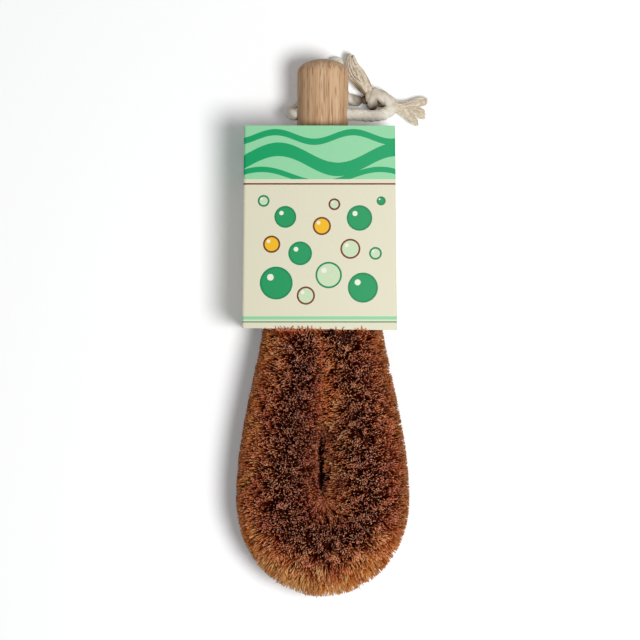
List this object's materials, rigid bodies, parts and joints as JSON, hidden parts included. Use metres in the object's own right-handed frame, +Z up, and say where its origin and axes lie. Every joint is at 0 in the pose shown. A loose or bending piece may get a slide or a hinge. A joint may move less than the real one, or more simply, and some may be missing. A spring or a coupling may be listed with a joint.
{
  "type": "dish brush",
  "caption": "Dish brush with a teardrop head of coir fibre held in a twisted wire stem, a turned wooden handle, a cotton hanging cord and a removable card sleeve.",
  "frame": {"origin": "on the table, under the middle of the brush's length and width, the free cord left out", "axes": "+Y along the handle towards its domed end, +Z up from the table, +X to the right when the brush is seen from above with its handle at the top"},
  "size_m": [0.0854, 0.241, 0.0405],
  "materials": {
    "rubberwood": "satin",
    "galvanised_wire": "satin",
    "coir_fibre": "matte",
    "cotton_cord": "matte",
    "printed_card": "satin"
  },
  "bodies": {
    "brush": {"handle": "rubberwood", "twist_wire_a": "galvanised_wire", "twist_wire_b": "galvanised_wire", "coir_left_1": "coir_fibre", "coir_left_2": "coir_fibre", "coir_left_3": "coir_fibre", "coir_left_4": "coir_fibre", "coir_left_5": "coir_fibre", "coir_left_6": "coir_fibre", "coir_tip_1": "coir_fibre", "coir_tip_2": "coir_fibre", "coir_tip_3": "coir_fibre", "coir_tip_4": "coir_fibre", "coir_right_1": "coir_fibre", "coir_right_2": "coir_fibre", "coir_right_3": "coir_fibre", "coir_right_4": "coir_fibre", "coir_right_5": "coir_fibre", "coir_right_6": "coir_fibre", "hanging_cord": "cotton_cord", "cord_knot": "cotton_cord", "cord_end_upper": "cotton_cord", "cord_end_right": "cotton_cord"},
    "sleeve": {"card_sleeve": "printed_card"}
  },
  "joints": [
    {"name": "sleeve_slide", "type": "slide", "parent": "brush", "child": "sleeve", "axis": [0, 1, 0], "range_m": [0, 0.13], "deforming": ["hanging_cord", "cord_knot", "cord_end_upper", "cord_end_right"]}
  ]
}
